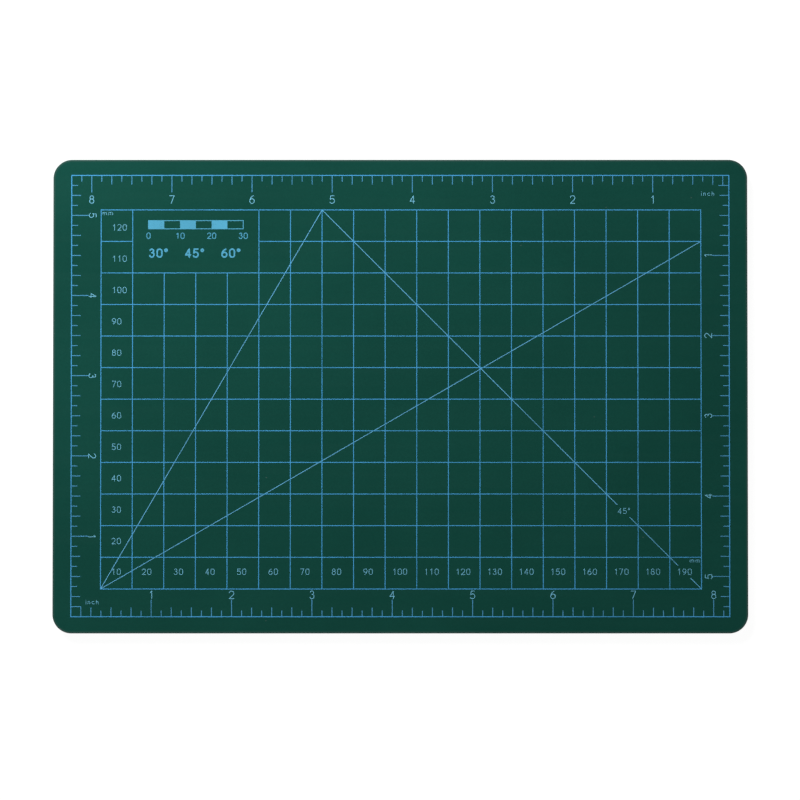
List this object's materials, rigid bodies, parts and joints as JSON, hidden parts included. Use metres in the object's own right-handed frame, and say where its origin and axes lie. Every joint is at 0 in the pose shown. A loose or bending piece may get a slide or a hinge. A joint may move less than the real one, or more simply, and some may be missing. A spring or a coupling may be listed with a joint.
{
  "type": "self healing cutting mat",
  "caption": "Small rectangular self-healing cutting mat with rounded corners, printed with a centimetre grid, inch rulers and angle guides.",
  "frame": {"origin": "centre of the mat's underside, on the table", "axes": "+X along the long side, to the right as the upright numerals are read; +Y across the mat, up as they are read; +Z out of the printed face"},
  "size_m": [0.22, 0.15, 0.003],
  "materials": {
    "green_skin": "dark green self-healing PVC with a fine satin grain",
    "soft_ply": "soft green-tinted PVC, cut edge only",
    "core": "stiff off-white PVC, cut edge only",
    "line_ink": "thin pale blue screen-printed ink",
    "figure_ink": "thin pale blue screen-printed ink"
  },
  "bodies": {
    "root": {"bottom_ruler_numerals": "figure_ink", "bottom_ruler_ticks": "line_ink", "bottom_skin": "green_skin", "core_ply": "core", "guide_angle_mark": "figure_ink", "guide_line_30": "line_ink", "guide_line_45": "line_ink", "guide_line_60": "line_ink", "inch_frame_line": "line_ink", "inch_unit_marks": "figure_ink", "left_ruler_numerals": "figure_ink", "left_ruler_ticks": "line_ink", "legend_numerals": "figure_ink", "legend_scale_bar": "figure_ink", "lower_cushion_ply": "soft_ply", "mm_column_numerals": "figure_ink", "mm_grid_border": "line_ink", "mm_grid_lines": "line_ink", "mm_row_numerals": "figure_ink", "mm_unit_marks": "figure_ink", "right_ruler_numerals": "figure_ink", "right_ruler_ticks": "line_ink", "top_ruler_numerals": "figure_ink", "top_ruler_ticks": "line_ink", "top_skin": "green_skin", "upper_cushion_ply": "soft_ply"}
  },
  "joints": []
}
